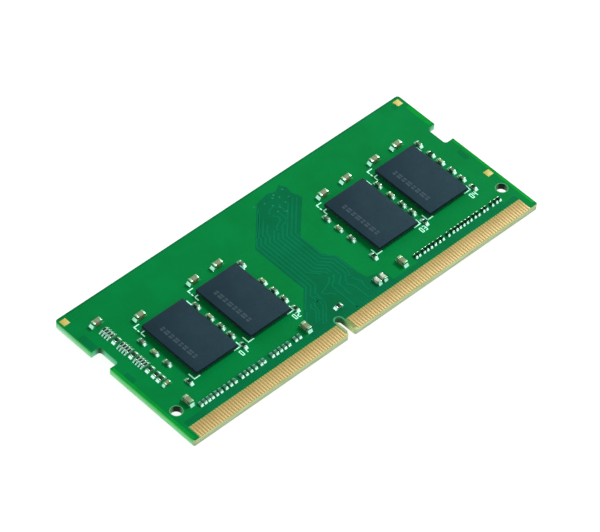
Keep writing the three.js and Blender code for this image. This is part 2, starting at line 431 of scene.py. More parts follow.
def solder_mask(name, dark, light):
    """Green lacquer: slow colour drift, faint weave of the glass cloth below, satin gloss."""
    look = Look(name, 0.42, specular=0.08, tint=(0.0, 0.6, 0.22, 1))
    drift = look.noise(0.22, 3.0)
    base = look.ramp(drift, (0.35, linear(*dark)), (0.65, linear(*light)))
    weave = look.node("ShaderNodeTexChecker")
    weave.inputs["Scale"].default_value = 1.0
    look.join(look.scaled(1.9, 2.3, 0.01), weave.inputs["Vector"])
    fine = look.noise(7.0, 3.0)
    darker = look.mix(0.5, linear(*dark), neutral(0))
    speck = look.ramp(fine, (0.52, neutral(0)), (0.8, neutral(0.25)))
    look.colour(look.mix(speck, base, darker))
    look.roughness(look.noise(1.3), 0.36, 0.5)
    relief = look.mix(0.25, look.noise(3.5, 2.0), weave.outputs["Color"])
    look.bump(relief, 0.004)
    return look.material


def notch_tone(look, tone, depth, side):
    """The latch notch in one end: walls of their own tone, with painted shade in the inner corner
    towards +Y.
    """
    half_depth = NOTCH_X - NOTCH_WALL_X
    inside = look.near(side * NOTCH_X, None, half_depth + 0.05, half_depth + 0.1)
    tall = look.near(None, NOTCH_Y, NOTCH_HALF + 0.1, NOTCH_HALF + 0.15)
    # Painted shade: the notch's inner corner is darkened, as a recess in shade.
    corner = look.near(side * NOTCH_WALL_X, NOTCH_Y + NOTCH_HALF, 0.2, 1.1)
    wall = look.mix(depth, linear(60, 176, 116), linear(132, 222, 172))
    wall = look.mix(corner, wall, linear(24, 72, 30))
    return look.mix(look.times(inside, tall), tone, wall)


def hole_tone(look, tone, side):
    """The tooling hole near one end, its wall with painted shade, darkest towards +X and +Y."""
    # Painted shade on the hole's wall, darkest on its far side.
    painted_wall_shade = look.near(side * HOLE_X + 0.66, HOLE_Y + 0.62, 0.4, 0.85)
    wall = look.mix(painted_wall_shade, linear(84, 156, 96), linear(10, 34, 18))
    hole = look.near(side * HOLE_X, HOLE_Y, HOLE_RADIUS + 0.1, HOLE_RADIUS + 0.2)
    return look.mix(hole, tone, wall)


def slot_tone(look, tone, depth):
    """The key slot: walls painted pale as light at its mouth and dark as shade at its closed end,
    olive board beside it.
    """
    # Painted light and shade: the slot's walls pale towards the mouth and darkest at the closed
    # end.
    closed = look.near(SLOT_X, SLOT_END, 0.7, 1.9)
    lit_open_wall = look.mix(depth, linear(186, 214, 150), linear(206, 212, 150))
    shaded_closed_wall = look.mix(depth, linear(40, 128, 76), linear(2, 62, 24))
    wall = look.mix(closed, lit_open_wall, shaded_closed_wall)
    on_face = look.between(look.axis("Z"), FRONT_LEVEL - 0.07, FRONT_LEVEL - 0.04)
    mouthward = look.between(look.axis("Y"), CONTACT_TOP, -HALF_WIDTH + 0.5)
    face = look.mix(mouthward, linear(84, 138, 76), linear(138, 154, 88))
    beside = look.near(SLOT_X, None, SLOT_RADIUS + 0.7, SLOT_RADIUS + 0.8)
    low = look.between(look.axis("Y"), SLOT_END + 2, SLOT_END + 1.9)
    return look.mix(look.times(beside, low), tone, look.mix(on_face, wall, face))


def cut_laminate():
    """Glass-fibre board with level fibre layers on its cut edges. Lacquer has run over them in
    green, except along the contact edge, which was bevelled after coating."""
    look = Look("laminate", 0.55, specular=0.1)
    layers = look.noise(9.0, 4.0, (0.04, 0.04, 1.0))
    green = look.ramp(layers, (0.35, linear(8, 158, 44)), (0.62, linear(40, 184, 78)))
    pale = look.ramp(layers, (0.35, linear(112, 214, 134)), (0.62, linear(160, 234, 172)))
    top_beige = look.ramp(layers, (0.35, linear(168, 182, 118)), (0.62, linear(194, 208, 146)))
    low_beige = look.ramp(layers, (0.35, linear(126, 152, 134)), (0.62, linear(154, 178, 162)))
    depth = look.between(look.axis("Z"), FRONT_LEVEL, BACK_LEVEL)
    tone = look.mix(depth, green, pale)
    # Painted light: beyond the notches, towards the plain edge, the walls are paler and brighter,
    # where light comes up through the laminate.
    beyond_notch = look.between(look.axis("Y"), NOTCH_Y + 2, NOTCH_Y + 8)
    bright = look.mix(depth, linear(52, 176, 92), linear(176, 236, 192))
    tone = look.mix(beyond_notch, tone, bright)
    for side in (-1, 1):
        tone = notch_tone(look, tone, depth, side)
        tone = hole_tone(look, tone, side)
    tone = slot_tone(look, tone, depth)
    contact_edge = look.between(look.axis("Y"), -HALF_WIDTH + 0.6, -HALF_WIDTH + 0.3)
    tone = look.mix(contact_edge, tone, look.mix(depth, top_beige, low_beige))
    look.colour(tone)
    look.bump(look.noise(14.0, 3.0, (0.3, 0.3, 1.0)), 0.012)
    return look.material


def bare_laminate():
    """The same board where the contacts leave its face bare: resin yellow over the cloth."""
    look = Look("bare_laminate", 0.5, specular=0.3)
    grain = look.noise(5.0, 4.0)
    look.colour(look.ramp(grain, (0.3, linear(162, 133, 73)), (0.7, linear(174, 145, 83))))
    look.bump(look.noise(9.0), 0.01)
    return look.material


def gold(name, dark, light, metallic):
    """Flat plated gold with slow colour drift and fine scratches along the insertion path."""
    look = Look(name, 0.45, metallic)
    wear = look.noise(0.6, 5.0, (1.0, 0.35, 1.0))
    tone = look.ramp(wear, (0.35, linear(*dark)), (0.65, linear(*light)))
    scratches = look.noise(9.0, 3.0, (1.0, 0.05, 1.0))
    shade = look.ramp(scratches, (0.55, neutral(0)), (0.8, neutral(0.25)))
    look.colour(look.mix(shade, tone, linear(176, 146, 84)))
    look.roughness(wear, 0.4, 0.52)
    look.bump(scratches, 0.0015)
    return look.material


def moulding():
    """Blue-black moulding compound with a fine matt grain."""
    look = Look("moulding", 0.62, specular=0.25, tint=(0.3, 0.85, 1, 1))
    drift = look.noise(0.35, 3.0)
    tone = look.ramp(drift, (0.35, linear(16, 31, 41)), (0.65, linear(20, 36, 47)))
    grain = look.noise(16.0, 3.0)
    specks = look.ramp(grain, (0.55, neutral(0)), (0.75, neutral(0.3)))
    look.colour(look.mix(specks, tone, linear(44, 64, 76)))
    look.roughness(look.noise(2.0), 0.55, 0.72)
    look.bump(grain, 0.006)
    return look.material


def rim(name, dark, light):
    """Lacquer that a tool has roughened."""
    return speckled(name, dark, light, cells=2.0, depth=0.006, specular=0.1)


def solder(name, dark, light, glow=0.0):
    return speckled(name, dark, light, cells=5.0, rough=0.24, depth=0.005, metallic=0.85, glow=glow)


# The board.
MASK = solder_mask("mask_over_copper", (0, 118, 54), (0, 125, 59))
MASK_BARE = solder_mask("mask_over_laminate", (0, 98, 58), (0, 104, 64))
MASK_TRACK = solder_mask("mask_over_track", (0, 109, 70), (2, 115, 76))
MASK_VIA = solder_mask("mask_over_via", (12, 120, 82), (38, 136, 100))
# Painted light: brighter lacquer where light comes up through the laminate at the board's ends.
MASK_LIT_EDGE = solder_mask("mask_painted_lit_edge", (0, 134, 44), (6, 156, 52))
RIM = rim("routed_rim", (48, 142, 96), (72, 164, 118))
MASK_PATCH = solder_mask("mask_over_thin_copper", (0, 106, 56), (0, 112, 60))
HOLE_RIM = rim("drilled_rim", (60, 140, 92), (96, 170, 122))
LAMINATE = cut_laminate()
LAMINATE_FACE = bare_laminate()
GOLD = gold("gold", (162, 139, 74), (172, 149, 84), 0.2)
FIDUCIAL_GOLD = gold("fiducial_gold", (184, 170, 66), (196, 182, 78), 0.0)

# The memory packages.
MOULDING = moulding()
LASER_MARK = speckled(
    "laser_mark", (44, 64, 76), (54, 74, 86), cells=9.0, rough=0.7, depth=0.003, specular=0.2
)
SILICON = speckled("silicon", (86, 92, 102), (112, 118, 128), cells=0.8, rough=0.18, depth=0.001)
SUBSTRATE = speckled("package_substrate", (16, 52, 34), (26, 72, 46), cells=3.0, depth=0.006)

# Solder and the small parts. The solder and the tin are tinted green: a painted reflection of the
# board.
SOLDER = solder("solder", (166, 240, 214), (186, 252, 230))
# A lighter copy of the solder that also glows: painted light, for the small chips' fillets.
SOLDER_LIT = solder("solder_painted_glow", (190, 250, 232), (214, 255, 244), glow=0.15)
TIN = speckled("tin", (138, 186, 144), (164, 208, 170), rough=0.3, depth=0.005, metallic=1.0)
# A darker, duller copy of the tin: painted shade for the far ends of the series resistors left of
# the slot.
TIN_SHADED = speckled(
    "tin_painted_shade", (78, 152, 120), (104, 176, 144), rough=0.4, depth=0.005, metallic=0.3, specular=0.1
)
CERAMIC_TAN = speckled("ceramic_tan", (108, 120, 88), (130, 140, 108), specular=0.2)
CERAMIC_DUN = speckled("ceramic_dun", (122, 142, 100), (144, 164, 120), specular=0.2)
CERAMIC_GREY = speckled("ceramic_grey", (68, 96, 80), (86, 116, 98), specular=0.2)
CERAMIC_PALE = speckled("ceramic_pale", (170, 178, 160), (192, 200, 184))
ALUMINA = speckled("alumina", (112, 152, 134), (146, 184, 166), cells=7.0, rough=0.6, specular=0.2)
GLAZE = speckled("resistor_glaze", (2, 40, 32), (10, 54, 44), rough=0.3, specular=0.1)
GLAZE_THIN = speckled("thin_glaze", (44, 112, 86), (58, 128, 104), rough=0.4, specular=0.1)

# The print, and the board's arris beside the slot, both with painted light.
# The print glows a little: painted light, so that it stays bright where the packages shade it.
PRINT = speckled(
    "white_print", (158, 236, 206), (180, 248, 222), rough=0.6, specular=0.1, glow=0.35
)
# Painted light: the arris strip is paler, where the edge's slight chamfer catches the light, over
# the cut laminate's tone.
LIT_ARRIS = speckled("arris_painted_light", (138, 156, 102), (158, 176, 122), cells=4.0, specular=0.1)


def finish_node(node, look):
    """Gives a CAD node that stays its visual material."""
    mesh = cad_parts[node].data
    mesh.materials.clear()
    mesh.materials.append(look)


# -------- board

PAD_WIDTH = 0.35
PAD_PITCH = 0.5
# The gold stands just over the lacquer's level, and the laminate between the fingers lies below.
PAD_TOP = 0.006
FLOOR_TOP = -0.004
# How far both stop below the strip that joins the fingers of the CAD row.
PAD_INSET = 0.06
FLOOR_INSET = 0.22


def contact_nodes(face):
    return [f"{face}_left_contacts", f"{face}_right_contacts"]


def fingers(node):
    """The left edge of each gold finger of a CAD contact row."""
    low, high = span(node)
    count = round((high.x - low.x - PAD_WIDTH) / PAD_PITCH) + 1
    return [low.x + i * PAD_PITCH for i in range(count)]


def contact_rows():
    """Single gold fingers, each with rounded ends, in place of the CAD rows."""
    for face, place in FACES.items():
        for node in contact_nodes(face):
            low, high = span(node)
            piece = Piece(f"{node}_fingers", GOLD)
            for x in fingers(node):
                pad = block(x, x + PAD_WIDTH, low.y, high.y - PAD_INSET, -0.03, PAD_TOP, 0.012)
                piece.add(pad, place)
            piece.finish("gold", node)


def window_floor():
    """Bare laminate between the fingers."""
    for face, place in FACES.items():
        piece = Piece(f"{face}_window_floor", LAMINATE_FACE)
        for node in contact_nodes(face):
            low, high = span(node)
            for x in fingers(node)[:-1]:
                x0, x1 = x + PAD_WIDTH, x + PAD_PITCH
                gap = block(x0, x1, low.y, high.y - FLOOR_INSET, -0.031, FLOOR_TOP, 0.002, 1)
                piece.add(gap, place)
        piece.finish("laminate")


def board():
    """The CAD's laminate and masks in their looks, and finer plates for its fiducials."""
    finish_node("laminate", LAMINATE)
    for face in FACES:
        finish_node(f"{face}_solder_mask", MASK)
    for node in numbered("front_fiducial_"):
        low, high = span(node)
        piece = Piece(f"{node}_plate", FIDUCIAL_GOLD)
        piece.add(block(low.x, high.x, low.y, high.y, low.z, high.z, 0.03))
        piece.finish("gold", node)


# -------- tracks under the mask

TRACK_WIDTH = 0.26
STUB_WIDTH = 0.16
# The address bundle: the x of its first line, the pitch of its lines, and how far each one runs
# up and to the right from its upper bend.
BUNDLE_X = -2.93
BUNDLE_PITCH = 0.69
UPPER_REACHES = (5.4, 4.2, 3.1, 2.2, 1.5, 1.1, 1.4, 4.9, 5.4, 5.2)
# Below, the first three lines step to the left and the others to the right, then they run down.
LEFT_STEPS = (3.1, 1.35, 1.2)
LEFT_DROPS = (0.1, 1.6, 1.8)
RIGHT_STEPS = (1.2, 1.5, 1.35, 1.4, 1.42, 1.45, 1.3)
RIGHT_DROPS = (0.4, 0.5, 0.9, 2.3, 4.4, 2.6, 3.4)


def arch(radius):
    """Points over the slot's closed end at this radius, and straight down to the contacts' tops."""
    angles = [math.radians(15 * i) for i in range(13)]
    over = [(SLOT_X + radius * math.cos(a), SLOT_END + radius * math.sin(a)) for a in angles]
    return [(SLOT_X + radius, CONTACT_TOP)] + over + [(SLOT_X - radius, CONTACT_TOP)]


# Where the copper plane is left out and the lacquer looks darker: the address bundle's field.
BUNDLE_FIELD = [
    (-3.4, -4.2), (-6, -6.9), (-7.4, -8.3), (-8.9, -11.3), (-8.9, CONTACT_TOP),
    *reversed(arch(SLOT_RADIUS + 0.1)), (5.4, CONTACT_TOP), (7.9, CONTACT_TOP), (7.8, -9.4),
    (5.2, -8.6), (4.9, -7.3), (4.8, -2.8), (3.4, -0.9), (3.4, 3.6), (9.1, 9.2), (8.5, 10.9),
    (8.7, 12.2), (8.1, 13.3), (6.8, 12.6), (5.6, 13.1), (3, 12.6), (2.2, 11.8), (-3.4, 6.1),
]
# Smaller bare patches, the strips where the contacts' tracks start, and last the strip along the
# plain edge: x0, x1, y0, y1.
PATCHES = [
    (-34.5, -33.4, 7.2, 10.2), (-34.3, -33.4, -1.2, 0.8), (33.1, 33.9, -1.4, 0.6),
    (32.3, 33.2, 13, 14), (-33.6, -8.9, CONTACT_TOP, -11.3), (7.9, 33.3, CONTACT_TOP, -11.5),
    (-29.9, -9.6, -11.3, -9.8), (13, 31, -11.5, -10.1),
    (-HALF_LENGTH + 0.5, HALF_LENGTH - 0.5, HALF_WIDTH - 0.3, HALF_WIDTH - 0.02),
]
# Strips along the board's ends without copper, painted brighter for the light that comes up through
# the laminate.
LIT_STRIPS = [
    (-HALF_LENGTH + 0.02, -34.3, -14.4, 2.7), (34.25, HALF_LENGTH - 0.02, -14.2, 2.7),
    (33.9, HALF_LENGTH - 0.02, 7.3, 12.4),
]


def bundle_track(index):
    """One line of the address bundle, from the via field down to where the bundle spreads."""
    x = BUNDLE_X + BUNDLE_PITCH * index
    bend = 6.34 - 0.2 * index
    reach = UPPER_REACHES[index]
    if index in (1, 2, 3):
        jog, rise = 0.8, 0.6
        path = [(x + reach, bend + reach + rise), (x + jog, bend + jog + rise)]
        path.append((x + jog, bend + jog))
    else:
        path = [(x + reach, bend + reach)]
    path.append((x, bend))
    lefts = len(LEFT_STEPS)
    if index < lefts:
        low = -4.2 - 0.25 * index
        step, drop = -LEFT_STEPS[index], LEFT_DROPS[index]
    else:
        low = -2.5 + 0.25 * abs(index - 4)
        step, drop = RIGHT_STEPS[index - lefts], RIGHT_DROPS[index - lefts]
    spread = low - abs(step)
    return path + [(x, low), (x + step, spread), (x + step, spread - drop)]


# Lines that go their own ways: short ones among the upper vias, then folded ones that spread
# from the bundle towards the contacts.
SINGLE_TRACKS = [
    [(1.5, 6.4), (2, 7.3), (2.7, 7.6), (3.4, 7.9), (3.6, 8.5), (3.3, 9.1), (2.9, 9.4)],
    [(2.3, 6.6), (3.1, 7.0), (3.9, 7.2), (4.3, 7.8), (4.3, 9.1)],
    [(2.9, 9.8), (3.6, 10.5), (4.4, 10.6)],
    [(4.9, 8.7), (5.3, 9.2), (5.2, 10), (5.6, 10.4)],
    [(1, -5), (0.3, -5.7), (-0.9, -6.2), (-2, -6.5), (-1.7, -7), (-1, -7.5), (-0.6, -8.1)],
    [(1.9, -5), (1.1, -5.9), (0.1, -6.5), (0.06, -9.2), (0.06, -11.9)],
    [(2.55, -5.9), (1.7, -6.5), (1.2, -6.9), (1.2, -7.9), (1, -8.5), (1.1, -9.6)],
    [(3.2, -6.1), (2.3, -7.1), (2.1, -7.8), (2.6, -8.6), (2.7, -11.8)],
    [(3.97, -5.7), (3.5, -6.9), (3.6, -7.9), (4.1, -8.6), (3.7, -9.5), (3.7, -10.6)],
    [(-4.6, -7), (-5.2, -7.6), (-5, -8.4), (-5.8, -9.4), (-6.6, -10.2)],
    [(-4, -7.1), (-4.5, -7.7), (-4.6, -8.6), (-5.4, -9.5), (-6, -10.2)],
    [(-3.6, -7.2), (-3.4, -7.7), (-3.5, -8.3), (-4.2, -9.1), (-5.3, -10.3), (-6, -11.1)],
    [(-3.4, -6.1), (-3.1, -6.6), (-3, -7.2), (-2.9, -8.2), (-3.6, -9.2), (-4.8, -10.4),
     (-5.4, -11.1)],
    [(-7.6, -9.2), (-6.9, -8.5), (-6.2, -7.8)],
]

# The vias of the upper field.
VIAS = [
    (5.57, 11.93), (6.5, 11.43), (4.57, 10.79), (7.64, 10.64), (6.5, 10.07), (5.2, 9.9),
    (5.36, 8.64), (4.3, 9.4), (7.9, 12.3), (2.2, 12.4), (6.1, 12.3), (3.9, 11.9),
]


def via(x, y):
    """A small plated hole under lacquer: a raised ring whose middle dips."""
    # Radius and height, from the foot inwards.
    profile = [(0.17, 0), (0.16, 0.024), (0.1, 0.024), (0.06, 0.012)]
    sections = [(x - r, x + r, y - r, y + r, r, z) for r, z in profile]
    return loft(sections, 3)


def oblong(x0, x1, y0, y1):
    """The outline of a rectangle, for a prism."""
    return [(x0, y0), (x1, y0), (x1, y1), (x0, y1)]


def contact_stub(x):
    """The start of a contact's track, from the gold up under the lacquer."""
    return [(x, CONTACT_TOP + 0.02), (x, CONTACT_TOP + chance.uniform(0.5, 0.95))]


def chip_via(x, y):
    """The via of a small chip, on one side of it or the other."""
    return via(x + chance.choice((-0.75, 0.75)), y + chance.uniform(-0.5, 0.5))


def tracks():
    """What shows through the lacquer: fields without copper, lines and vias."""
    for face, place in FACES.items():
        fields = Piece(f"{face}_bare_fields", MASK_BARE, MASK_PATCH)
        fields.add(prism(BUNDLE_FIELD, SUNK, FIELD_LEVEL), place)
        for patch in PATCHES:
            fields.add(prism(oblong(*patch), SUNK, FIELD_LEVEL), place, 1)
        fields.finish("solder_mask")
        strips = Piece(f"{face}_lit_strips", MASK_LIT_EDGE)
        for strip in LIT_STRIPS:
            strips.add(prism(oblong(*strip), SUNK, FIELD_LEVEL), place)
        strips.finish("solder_mask")
        lines = Piece(f"{face}_tracks", MASK_TRACK)
        bundle = [bundle_track(index) for index in range(len(UPPER_REACHES))]
        for path in bundle + SINGLE_TRACKS:
            lines.add(stroke(path, TRACK_WIDTH, TRACK_LEVEL), place)
        for node in contact_nodes(face):
            for x in fingers(node):
                stub = contact_stub(x + PAD_WIDTH / 2)
                lines.add(stroke(stub, STUB_WIDTH, TRACK_LEVEL), place)
        lines.finish("solder_mask")
        holes = Piece(f"{face}_vias", MASK_VIA, MASK)
        for x, y in VIAS:
            holes.add(via(x, y), place)
        for x, heights in SMALL_COLUMNS:
            for y in heights:
                holes.add(chip_via(x, y), place, 1)
        holes.finish("solder_mask")


def rims():
    """The pale rims that tools leave in the lacquer round the key slot and the two holes, and the
    strip that lines the slot's left wall down to the board's mid-depth, in the cut laminate's tone
    with painted light where the arris catches it."""
    for face, place in FACES.items():
        piece = Piece(f"{face}_rims", RIM, HOLE_RIM, LIT_ARRIS)
        inner, outer = HOLE_RADIUS + RIM_START, HOLE_RADIUS + HOLE_RIM_END
        for side in (-1, 1):
            piece.add(washer(side * HOLE_X, HOLE_Y, inner, outer), place, 1)
        rings = []
        edges = zip(arch(SLOT_RADIUS + RIM_START), arch(SLOT_RADIUS + SLOT_RIM_END))
        for (ax, ay), (bx, by) in edges:
            rings.append([(ax, ay, SUNK), (ax, ay, RIM_LEVEL), (bx, by, RIM_LEVEL), (bx, by, SUNK)])
        piece.add(skin(rings), place)
        wall = SLOT_X - SLOT_RADIUS
        lining = oblong(wall - ARRIS_WIDTH, wall + LINING_DEPTH, -HALF_WIDTH + 0.75, SLOT_END)
        piece.add(prism(lining, (BACK_LEVEL - FRONT_LEVEL) / 2, 0.002), place, 2)
        piece.finish("solder_mask")


# -------- memory packages

# The grid of balls under a package: its columns from the middle, in steps of the pitch.
BALL_COLUMNS = (-4, -3, -2, 2, 3, 4)
BALL_ROWS = 13
BALL_PITCH = 0.8
BALL_RADIUS = 0.25
SUBSTRATE_THICKNESS = 0.2
# The laser marks on a package: two rows of bars across, their lengths and the gap between them,
# and how far below the package's middle they start.
MARK_ROWS = ((-2.55, -2.2), (-2.05, -1.75))
MARK_LENGTHS = (0.5, 0.9, 0.7, 0.5, 0.9, 0.6, 0.8, 0.5)
MARK_GAP = 0.28
MARK_START = 3.7


def substrate_piece(node):
    """Package substrate and its grid of solder balls."""
    low, high = span(node)
    centre = (low + high) / 2
    place, top = standing(node.replace("substrate", "mould_cap"))[:2]
    standoff = top - SUBSTRATE_THICKNESS
    piece = Piece(f"{node}_and_balls", SUBSTRATE, SOLDER)
    piece.add(block(low.x, high.x, low.y, high.y, standoff, top, 0.01, 1), place)
    for column in BALL_COLUMNS:
        for row in range(BALL_ROWS):
            y = centre.y + (row - (BALL_ROWS - 1) / 2) * BALL_PITCH
            x = centre.x + column * BALL_PITCH
            piece.add(ball(x, y, BALL_RADIUS, standoff), place, 1)
    piece.finish("package_substrate", node)


def mould_cap_piece(node):
    """The mould cap, with its die pocket and finely rounded top arrises."""
    low, high = span(node)
    die_low, die_high = span(node.replace("mould_cap", "die"))
    place, base, top = standing(node)
    die_top = base + die_high.z - die_low.z
    edge = 0.05
    sections = [
        (die_low.x, die_high.x, die_low.y, die_high.y, 0.01, die_top),
        (die_low.x, die_high.x, die_low.y, die_high.y, 0.01, base),
        (low.x, high.x, low.y, high.y, edge, base),
    ]
    for i in range(4):
        angle = math.radians(30 * i)
        inset = edge * (1 - math.cos(angle))
        radius = edge - inset * 0.9
        z = top - edge + edge * math.sin(angle)
        x0, x1 = low.x + inset, high.x - inset
        sections.append((x0, x1, low.y + inset, high.y - inset, radius, z))
    piece = Piece(f"{node}_moulding", MOULDING)
    piece.add(loft(sections), place)
    piece.finish("moulding", node)


def laser_marks():
    """Rows of plain bars along each package, where a real one carries its maker's print."""
    for face in FACES:
        piece = Piece(f"{face}_laser_marks", LASER_MARK)
        for node in mould_caps(face):
            place, _, top = standing(node)
            x, y = middle(node).xy
            y -= MARK_START
            for length in MARK_LENGTHS:
                for x0, x1 in MARK_ROWS:
                    bar = oblong(x + x0, x + x1, y, y + length)
                    piece.add(prism(bar, top - 0.004, top + 0.002), place)
                y += length + MARK_GAP
        piece.finish("moulding")


def mould_caps(face):
    """The CAD mould caps on one face, in order."""
    caps = [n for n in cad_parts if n.endswith("_mould_cap")]
    return sorted(n for n in caps if standing(n)[0] == FACES[face])


def packages():
    """Every memory package: substrate with balls, mould cap, and the CAD's die in silicon."""
    for node in sorted(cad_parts):
        if node.endswith("_substrate"):
            substrate_piece(node)
        elif node.endswith("_mould_cap"):
            mould_cap_piece(node)
        elif node.endswith("_die"):
            finish_node(node, SILICON)


# -------- small parts

# How far a chip's end caps stand out from its body.
SWELL = 0.015


def chip_solids(length, width, height, cap, reach, climb, far_end_reach=None):
    """A two-ended ceramic chip along X, with its end caps and solder: (solid, look) pairs.
    The solder reaches this far out over the pads and climbs this high up the ends.
    With a far-end reach, the +X end has its own reach and the piece's fifth look,
    which in the series resistors is tin with painted shade."""
    end = length / 2
    half = width / 2
    solids = [(block(-end + cap / 2, end - cap / 2, -half, half, 0.03, height, 0.04), 0)]
    ends = [(-1, reach, 1, 2), (1, reach, 1, 2)]
    if far_end_reach:
        ends[1] = (1, far_end_reach, 4, 4)
    for side, foot, cap_look, solder_look in ends:
        near, far = sorted((side * (end - cap), side * (end + SWELL)))
        shell = block(near, far, -half - SWELL, half + SWELL, 0.02, height + SWELL, 0.05)
        solids.append((shell, cap_look))
        fillet = []
        for out, z in ((foot, 0.0), (foot * 0.95, 0.03), (foot * 0.5, climb * 0.5), (0.03, climb)):
            low, high = sorted((side * (end - cap * 0.8), side * (end + out)))
            spread = half + 0.02 + out * 0.1
            fillet.append((low, high, -spread, spread, 0.07, z))
        solids.append((loft(fillet), solder_look))
    return solids


def resistor_solids(length, width, height, cap, reach, far_end_reach=None):
    """A thick-film chip resistor along X: white ceramic, dark glaze on top, tinned ends."""
    solids = chip_solids(length, width, height, cap, reach, height * 0.9, far_end_reach)
    end = length / 2 - cap
    half = width / 2 + 0.005
    solids.append((block(-end, end, -half, half, height - 0.06, height + 0.02, 0.02), 3))
    return solids


def add_all(piece, solids, place):
    for solid, look in solids:
        piece.add(solid, place, look)


def jitter(place):
    """The slight shift and turn that a machine-placed part gets as its solder sets."""
    shift = Matrix.Translation((chance.uniform(-0.02, 0.02), chance.uniform(-0.02, 0.02), 0))
    return place @ shift @ Matrix.Rotation(math.radians(chance.uniform(-1.5, 1.5)), 4, "Z")


def bulk_capacitors():
    """The 1.6 by 0.8 mm capacitors, each in the place of its CAD node."""
    for face in FACES:
        for node in numbered(f"{face}_capacitor_"):
            low, high = span(node)
            centre = (low + high) / 2
            turn = 90 if high.y - low.y > high.x - low.x else 0
            height = high.z - low.z - SWELL
            piece = Piece(f"{node}_chip", CERAMIC_TAN, TIN, SOLDER)
            solids = chip_solids(1.6, 0.8, height, cap=0.4, reach=0.34, climb=0.45)
            add_all(piece, solids, FACES[face] @ at(centre.x, centre.y, turn))
            piece.finish("capacitor", node)


# Columns of 1.0 by 0.5 mm chips beside the packages: x of the column, then y of each chip in it.
SMALL_COLUMNS = [
    (-28.04, (3.62, 0.9, -1.73, -6.36)),
    (-17.5, (3.6, 0.7, -1.68, -3.78, -6.43)),
    (-6.97, (5.27, 0.7, -1.7, -3.8, -6.28)),
    (8.73, (3.57, 0.92, -1.73, -6.45)),
    (19.27, (3.47, 0.7, -1.73, -3.85, -6.48)),
    (29.8, (5.45, 2.77, 0.67, -1.73, -3.83, -6.23)),
]

# Groups of series resistors above the contacts: x of the first, how many, and their pitch.
SERIES_GROUPS = [
    (-29.6, 4, 0.72), (-26.6, 2, 0.8), (-24.8, 3, 0.9), (-21.7, 4, 0.87), (-18, 2, 0.65),
    (-15.7, 5, 0.81), (-11.1, 2, 0.8), (13.4, 2, 0.65), (15, 2, 0.7), (16.5, 2, 0.8),
    (18.2, 2, 0.75), (20.1, 1, 0), (21.1, 6, 0.74), (25.7, 2, 0.75), (27.5, 2, 0.7),
    (29.4, 1, 0), (30.3, 2, 0.7),
]
SERIES_Y = -10.44

# The front's left column: its x, and the y of its resistors and of its capacitor.
LEFT_COLUMN_X = -30.67
LEFT_RESISTORS = (6.2, 2.55, -1.0, -2.3, -3.3)
LEFT_CAPACITOR = -4.55
# The three chips near the key slot.
SLOT_RESISTOR = (-2.0, -10.1)
SLOT_CAPACITORS = [(5.68, -10.3), (6.85, -10.3)]


def small_chips(face, place):
    """The columns of 1.0 by 0.5 mm chips. Which kind a chip is depends on its row."""
    grey = Piece(f"{face}_small_grey_capacitors", CERAMIC_GREY, TIN, SOLDER_LIT)
    tan = Piece(f"{face}_small_tan_capacitors", CERAMIC_DUN, TIN, SOLDER_LIT)
    dark = Piece(f"{face}_small_resistors", ALUMINA, TIN, SOLDER_LIT, GLAZE)
    capacitor = chip_solids(1.0, 0.5, 0.46, cap=0.22, reach=0.34, climb=0.36)
    resistor = resistor_solids(1.0, 0.5, 0.34, cap=0.2, reach=0.34)
    for x, heights in SMALL_COLUMNS:
        for y in heights:
            spot = place @ jitter(at(x, y, 90))
            if y < -6 or 2.5 < y < 3:
                add_all(dark, resistor, spot)
            elif 0.5 < y < 1:
                add_all(tan, capacitor, spot)
            else:
                add_all(grey, capacitor, spot)
    grey.finish("capacitor")
    tan.finish("capacitor")
    dark.finish("resistor")


def series_resistors(face, place):
    """The two rows above the contacts. Right of the slot they are of a narrower make, dark all
    over but for their ends."""
    looks = (ALUMINA, TIN, SOLDER_LIT, GLAZE_THIN, TIN_SHADED, GLAZE)
    piece = Piece(f"{face}_series_resistors", *looks)
    wide = resistor_solids(0.68, 0.44, 0.28, cap=0.14, reach=0.21, far_end_reach=0.08)
    # The narrow make's body and top have the last look, and its far end the plain tin, not the copy
    # painted in shade.
    darker = {0: 5, 3: 5, 4: 1}
    narrow = []
    for solid, look in resistor_solids(0.68, 0.36, 0.28, cap=0.12, reach=0.2, far_end_reach=0.08):
        narrow.append((solid, darker.get(look, look)))
    for first, count, pitch in SERIES_GROUPS:
        solids = wide if first < SLOT_X else narrow
        for i in range(count):
            add_all(piece, solids, place @ jitter(at(first + i * pitch, SERIES_Y, 90)))
    piece.finish("resistor")


def loose_chips():
    """The front's single chips: the left column between the arrays, and three near the slot."""
    dark = Piece("front_loose_resistors", ALUMINA, TIN, SOLDER_LIT, GLAZE)
    resistor = resistor_solids(1.05, 0.6, 0.36, cap=0.24, reach=0.3)
    for x, y in [(LEFT_COLUMN_X, y) for y in LEFT_RESISTORS] + [SLOT_RESISTOR]:
        add_all(dark, resistor, FRONT @ jitter(at(x, y)))
    dark.finish("resistor")
    tan = Piece("front_loose_tan_capacitor", CERAMIC_TAN, TIN, SOLDER)
    capacitor = chip_solids(1.0, 0.5, 0.5, cap=0.24, reach=0.3, climb=0.4)
    add_all(tan, capacitor, FRONT @ jitter(at(LEFT_COLUMN_X, LEFT_CAPACITOR)))
    tan.finish("capacitor")
    pale = Piece("front_loose_pale_capacitors", CERAMIC_PALE, TIN, SOLDER)
    capacitor = chip_solids(1.2, 0.65, 0.55, cap=0.3, reach=0.28, climb=0.42)
    for x, y in SLOT_CAPACITORS:
        add_all(pale, capacitor, FRONT @ jitter(at(x, y, 90)))
    pale.finish("capacitor")


